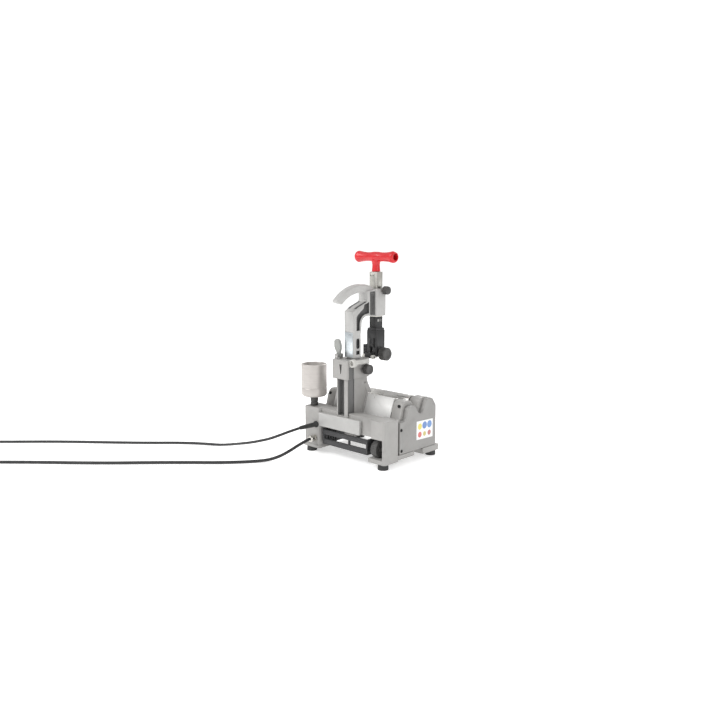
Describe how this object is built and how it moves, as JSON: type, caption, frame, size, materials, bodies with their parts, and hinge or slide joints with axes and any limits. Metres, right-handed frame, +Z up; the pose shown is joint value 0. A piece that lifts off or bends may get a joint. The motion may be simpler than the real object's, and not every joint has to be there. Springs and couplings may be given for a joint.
{
  "type": "pipe threading machine",
  "caption": "Bench machine for pipe work: cast base with two geared rollers, column with clamp head, sliding arm with screw-fed wheel tool, red T handle, reamer cup.",
  "frame": {"origin": "on the floor, midway between the four rubber feet's outer sides left to right, 4 mm forward of their middle front to back, where the base casting's own centre planes cross", "axes": "+X along the pipe towards the hand wheel's side (the machine's right seen from the front), +Y to the back, +Z up"},
  "size_m": [1.1907, 1.0169, 0.5415],
  "materials": {
    "casting": "satin grey enamel",
    "arm_light": "satin light grey enamel",
    "cover": "satin grey enamel, a shade darker",
    "light_plate": "satin light grey enamel",
    "dark_frame": "matt dark grey",
    "tool_black": "blackened steel, satin",
    "bar_steel": "drawn steel bar",
    "steel": "ground steel",
    "bright_strip": "polished strip",
    "gears": "oiled machined steel",
    "barrel": "satin grey enamel",
    "motor_case": "matt black",
    "lever_grey": "moulded grey",
    "knob_dark": "moulded charcoal",
    "guide_white": "plain nylon",
    "red_grip": "glossy moulded red",
    "cup_metal": "satin anodised",
    "screw_black": "black oxide",
    "sticker": "plain sticker",
    "foot_rubber": "black rubber",
    "cord_black": "black rubber sheath",
    "nickel": "nickel plated"
  },
  "bodies": {
    "base": {"base_casting": "casting", "front_plate": "light_plate", "bottom_frame": "dark_frame", "right_cover": "cover", "left_cover": "cover", "cover_screws": "screw_black", "plain_label": "sticker", "rubber_feet": "foot_rubber", "chute_plate": "light_plate", "roller_bearings": "steel", "idler_studs": "steel", "motor_housing": "motor_case", "upright_column": "casting", "clamp_head": "casting", "pinch_barrel": "barrel", "lever_pin": "steel", "cup_post": "knob_dark", "reamer_cup": "cup_metal", "reamer_blades": "steel", "mains_relief": "foot_rubber", "lead_gland": "nickel", "mains_cord": "cord_black", "lead_cord": "cord_black", "mains_coil": "cord_black", "lead_coil": "cord_black", "mains_plug": "cord_black", "lead_connector": "nickel"},
    "front_roller": {"front_drive_roller": "steel", "front_gear": "gears"},
    "rear_roller": {"rear_drive_roller": "steel", "rear_gear": "gears"},
    "front_idler_wheel": {"front_idler": "gears"},
    "rear_idler_wheel": {"rear_idler": "gears"},
    "rotor": {"motor_rotor": "gears", "motor_pinion": "gears"},
    "wheel": {"hand_wheel": "knob_dark"},
    "arm": {"arm_casting": "arm_light", "arm_scale_plate": "bright_strip", "feed_nut": "steel"},
    "lever": {"clamp_lever": "lever_grey"},
    "lock": {"column_lock_knob": "knob_dark"},
    "bar": {"feed_bar": "bar_steel", "tool_adapter": "tool_black", "tool_body": "tool_black", "tool_side_block": "tool_black", "side_block_screws": "screw_black"},
    "handle": {"t_handle": "red_grip", "feed_spindle": "steel"},
    "bar_lock": {"bar_lock_knob": "knob_dark"},
    "wheel_pin": {"tool_knob": "knob_dark"},
    "cutter": {"cutting_wheel": "steel"},
    "guide_left": {"guide_roller_left": "guide_white"},
    "guide_right": {"guide_roller_right": "guide_white"}
  },
  "joints": [
    {"name": "front_roller_spin", "type": "hinge", "parent": "base", "child": "front_roller", "pos_m": [0, -0.002, 0.144], "axis": [1, 0, 0], "continuous": true},
    {"name": "rear_roller_spin", "type": "hinge", "parent": "base", "child": "rear_roller", "pos_m": [0, 0.06, 0.144], "axis": [1, 0, 0], "continuous": true},
    {"name": "front_idler_spin", "type": "hinge", "parent": "base", "child": "front_idler_wheel", "pos_m": [0.123, 0.006, 0.113], "axis": [1, 0, 0], "continuous": true},
    {"name": "rear_idler_spin", "type": "hinge", "parent": "base", "child": "rear_idler_wheel", "pos_m": [0.123, 0.052, 0.113], "axis": [1, 0, 0], "continuous": true},
    {"name": "motor_spin", "type": "hinge", "parent": "base", "child": "rotor", "pos_m": [0.02, 0.029, 0.09792], "axis": [1, 0, 0], "continuous": true},
    {"name": "hand_wheel_spin", "type": "hinge", "parent": "base", "child": "wheel", "pos_m": [0.107, -0.082, 0.047], "axis": [1, 0, 0], "continuous": true},
    {"name": "arm_slide", "type": "slide", "parent": "base", "child": "arm", "axis": [0, 0, 1], "range_m": [-0.05, 0.02]},
    {"name": "clamp_lever_swing", "type": "hinge", "parent": "base", "child": "lever", "pos_m": [-0.031, -0.085, 0.272], "axis": [0, -1, 0], "range_deg": [0, 80]},
    {"name": "column_lock_turn", "type": "hinge", "parent": "base", "child": "lock", "pos_m": [0.016, -0.04, 0.237], "axis": [1, 0, 0], "range_deg": [-180, 180]},
    {"name": "t_handle_turn", "type": "hinge", "parent": "bar", "child": "handle", "pos_m": [-0.004, 0.028, 0.526], "axis": [0, 0, -1], "range_deg": [0, 2595]},
    {"name": "bar_feed", "type": "slide", "parent": "arm", "child": "bar", "axis": [0, 0, -1], "range_m": [0, 0.036]},
    {"name": "bar_lock_turn", "type": "hinge", "parent": "arm", "child": "bar_lock", "pos_m": [0.015, 0.036, 0.4385], "axis": [1, 0, 0], "range_deg": [-180, 180]},
    {"name": "tool_knob_turn", "type": "hinge", "parent": "bar", "child": "wheel_pin", "pos_m": [0.0135, 0.028, 0.27], "axis": [1, 0, 0], "range_deg": [-180, 180]},
    {"name": "cutter_spin", "type": "hinge", "parent": "bar", "child": "cutter", "pos_m": [-0.004, 0.028, 0.27], "axis": [1, 0, 0], "continuous": true},
    {"name": "guide_left_spin", "type": "hinge", "parent": "bar", "child": "guide_left", "pos_m": [-0.02375, 0.004, 0.262], "axis": [1, 0, 0], "continuous": true},
    {"name": "guide_right_spin", "type": "hinge", "parent": "bar", "child": "guide_right", "pos_m": [0.00775, 0.004, 0.262], "axis": [1, 0, 0], "continuous": true}
  ],
  "couplings": [
    {"joint": "rear_roller_spin", "follows": "front_roller_spin", "ratio": 1},
    {"joint": "front_idler_spin", "follows": "front_roller_spin", "ratio": -0.82857},
    {"joint": "rear_idler_spin", "follows": "front_roller_spin", "ratio": -0.82857},
    {"joint": "motor_spin", "follows": "front_roller_spin", "ratio": 1.45},
    {"joint": "t_handle_turn", "follows": "bar_feed", "rad_per_m": 1256.6}
  ]
}
